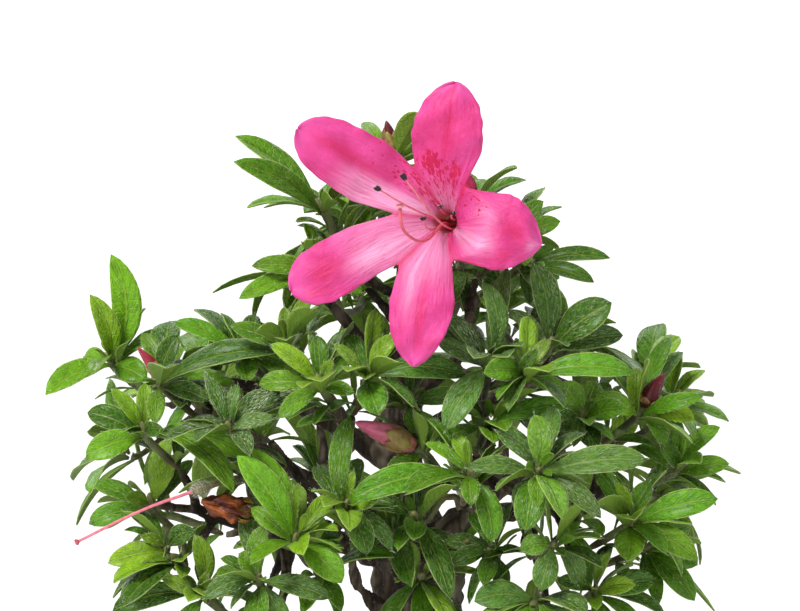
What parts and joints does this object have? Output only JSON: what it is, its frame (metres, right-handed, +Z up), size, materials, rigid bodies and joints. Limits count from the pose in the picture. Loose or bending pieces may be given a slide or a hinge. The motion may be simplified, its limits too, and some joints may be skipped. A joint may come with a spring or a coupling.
{
  "type": "satsuki azalea bonsai",
  "caption": "Small azalea tree with a gnarled trunk, dense crown of narrow hairy leaves, one open pink funnel flower, buds and a wilted flower, in a low oval clay pot.",
  "frame": {"origin": "on the ground, under the middle of the whole plant and pot", "axes": "+Z up along the tree, -Y to the front where the open flower faces, +X to the right seen from the front"},
  "size_m": [0.1636, 0.148, 0.2272],
  "materials": {
    "leaf": "satin, green, finely hairy",
    "bark": "rough dark grey-brown bark",
    "petal": "soft matt pink with darker spots",
    "style": "satin salmon pink",
    "sepal": "matt green, hairy",
    "bud": "matt dark pink and olive",
    "wilted": "dry crumpled orange-brown",
    "soil": "granular, damp, with a little moss",
    "clay": "unglazed smooth brown clay"
  },
  "bodies": {
    "root": {"bloom_corolla": "petal", "bloom_stamens": "style", "bloom_pistil": "style", "bloom_calyx": "sepal", "bud_left": "bud", "bud_centre": "bud", "bud_right": "bud", "bud_top": "bud", "bud_behind": "bud", "spent_bloom": "wilted", "spent_style": "style", "spray_upper_left": "leaf", "spray_behind_top": "leaf", "spray_right_of_bloom": "leaf", "spray_right_sickles": "leaf", "spray_right_broad": "leaf", "spray_right_of_tip": "leaf", "spray_hanging_pair": "leaf", "spray_under_tip": "leaf", "spray_left_fan": "leaf", "spray_left_high_tip": "leaf", "spray_long_arch": "leaf", "spray_far_left": "leaf", "spray_lime_left": "leaf", "spray_hairy_left": "leaf", "spray_left_stem": "leaf", "spray_big_hanging": "leaf", "spray_centre_low": "leaf", "spray_long_leaf": "leaf", "spray_centre_bud": "leaf", "spray_middle_right": "leaf", "spray_right_star": "leaf", "spray_far_right_top": "leaf", "spray_right_end": "leaf", "spray_heart_leaf": "leaf", "spray_low_right": "leaf", "spray_low_middle": "leaf", "spray_mid_dark": "leaf", "spray_over_trunk": "leaf", "spray_low_left": "leaf", "spray_bottom_left": "leaf", "spray_right_inner": "leaf", "spray_low_corner": "leaf", "spray_bloom_bearer": "leaf", "spray_shoot_01": "leaf", "spray_shoot_02": "leaf", "spray_shoot_03": "leaf", "spray_shoot_04": "leaf", "spray_shoot_05": "leaf", "spray_shoot_06": "leaf", "spray_shoot_07": "leaf", "spray_shoot_08": "leaf", "spray_shoot_09": "leaf", "spray_shoot_10": "leaf", "spray_shoot_11": "leaf", "spray_shoot_12": "leaf", "spray_shoot_13": "leaf", "pot": "clay", "soil": "soil", "tree": "bark"}
  },
  "joints": []
}
